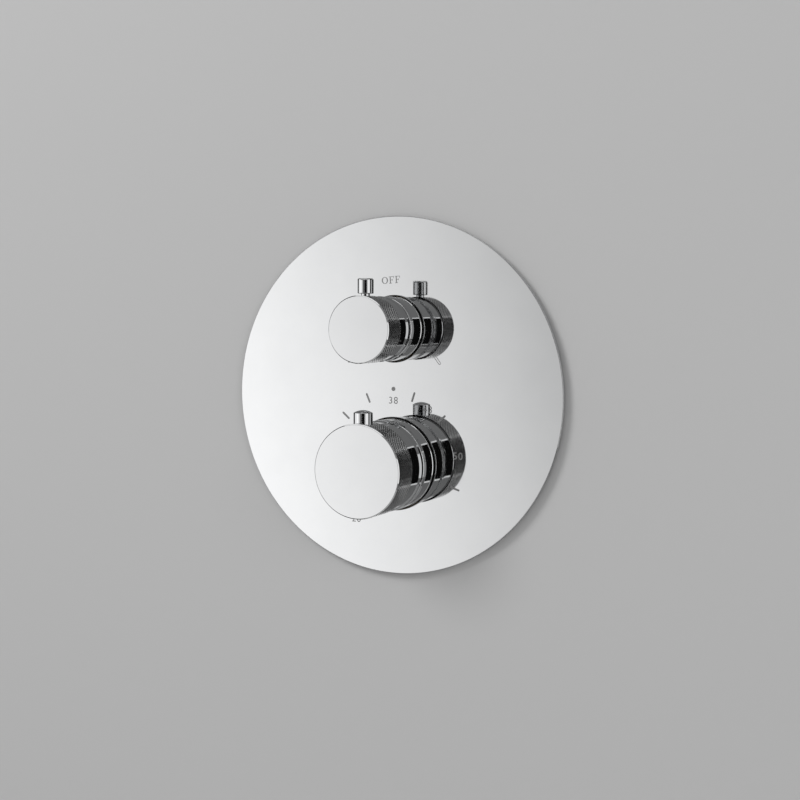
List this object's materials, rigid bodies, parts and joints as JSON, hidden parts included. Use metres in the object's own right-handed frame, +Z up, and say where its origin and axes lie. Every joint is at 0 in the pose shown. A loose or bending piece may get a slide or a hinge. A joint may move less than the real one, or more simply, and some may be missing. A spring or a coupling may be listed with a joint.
{
  "type": "thermostatic shower valve",
  "caption": "Concealed thermostatic shower valve: a round chrome wall plate with an upper shut-off and diverter knob and a lower temperature knob with a push button.",
  "frame": {"origin": "centre of the round plate on the finished wall, the back face of the plate's gasket", "axes": "+Z up, -Y out of the wall towards the user, +X to the user's right"},
  "size_m": [0.2, 0.1445, 0.2],
  "materials": {
    "chrome": "polished",
    "brass": "as cast and turned",
    "steel": "zinc plated",
    "spring_steel": "drawn wire",
    "rubber": "moulded",
    "foam": "closed-cell foam",
    "shell_plastic": "moulded",
    "white_plastic": "moulded",
    "ceramic": "lapped",
    "wax_copper": "drawn"
  },
  "bodies": {
    "root": {"face_plate": "chrome", "plate_gasket": "foam", "diverter_sleeve": "chrome", "diverter_plate_seal": "rubber", "diverter_nut": "brass", "diverter_shell_seal": "rubber", "temperature_sleeve": "chrome", "temperature_plate_seal": "rubber", "temperature_nut": "brass", "temperature_shell_seal": "rubber", "diverter_shell": "brass", "diverter_fixed_disc": "ceramic", "diverter_base_seal": "rubber", "temperature_shell": "shell_plastic", "temperature_stop_ring": "white_plastic", "thermostat_seat": "shell_plastic", "return_spring": "spring_steel", "valve_body": "brass", "hot_check_housing": "white_plastic", "hot_check_spring": "spring_steel", "hot_filter": "steel", "cold_check_housing": "white_plastic", "cold_check_spring": "spring_steel", "cold_filter": "steel", "mounting_bracket": "steel", "bracket_screws": "steel"},
    "diverter": {"diverter_handle": "chrome", "diverter_lever_pin": "chrome", "diverter_grub_screw": "steel", "diverter_adapter": "brass", "diverter_adapter_screw": "steel", "diverter_spindle": "brass", "diverter_spindle_seal": "rubber", "diverter_moving_disc": "ceramic"},
    "temperature": {"temperature_handle": "chrome", "temperature_grub_screw": "steel", "temperature_adapter": "brass", "temperature_adapter_screw": "steel", "temperature_spindle": "brass", "temperature_spindle_seal": "rubber", "button_spring": "spring_steel"},
    "override_button": {"override_button": "chrome", "button_clip": "steel"},
    "thermostat_element": {"drive_plunger": "brass", "overload_spring": "spring_steel", "wax_element": "wax_copper", "mixing_shuttle": "white_plastic"},
    "hot_poppet": {"hot_check_poppet": "shell_plastic"},
    "cold_poppet": {"cold_check_poppet": "shell_plastic"}
  },
  "joints": [
    {"name": "diverter_turn", "type": "hinge", "parent": "root", "child": "diverter", "pos_m": [0, 0, 0.0375], "axis": [0, 1, 0], "range_deg": [-124, 124]},
    {"name": "temperature_turn", "type": "hinge", "parent": "root", "child": "temperature", "pos_m": [0, 0, -0.038], "axis": [0, 1, 0], "range_deg": [-145, 81]},
    {"name": "override_press", "type": "slide", "parent": "temperature", "child": "override_button", "axis": [0, 0, -1], "range_m": [0, 0.0025], "stiffness_N_per_m": 600, "springref_m": -0.0015, "deforming": ["button_spring"]},
    {"name": "element_slide", "type": "slide", "parent": "root", "child": "thermostat_element", "axis": [0, 1, 0], "range_m": [-0.0007, 0.00125], "deforming": ["return_spring"]},
    {"name": "hot_check", "type": "slide", "parent": "root", "child": "hot_poppet", "axis": [1, 0, 0], "range_m": [0, 0.003], "stiffness_N_per_m": 120, "springref_m": -0.002, "deforming": ["hot_check_spring"]},
    {"name": "cold_check", "type": "slide", "parent": "root", "child": "cold_poppet", "axis": [-1, 0, 0], "range_m": [0, 0.003], "stiffness_N_per_m": 120, "springref_m": -0.002, "deforming": ["cold_check_spring"]}
  ],
  "couplings": [
    {"joint": "element_slide", "follows": "temperature_turn", "m_per_rad": -0.00047746}
  ]
}
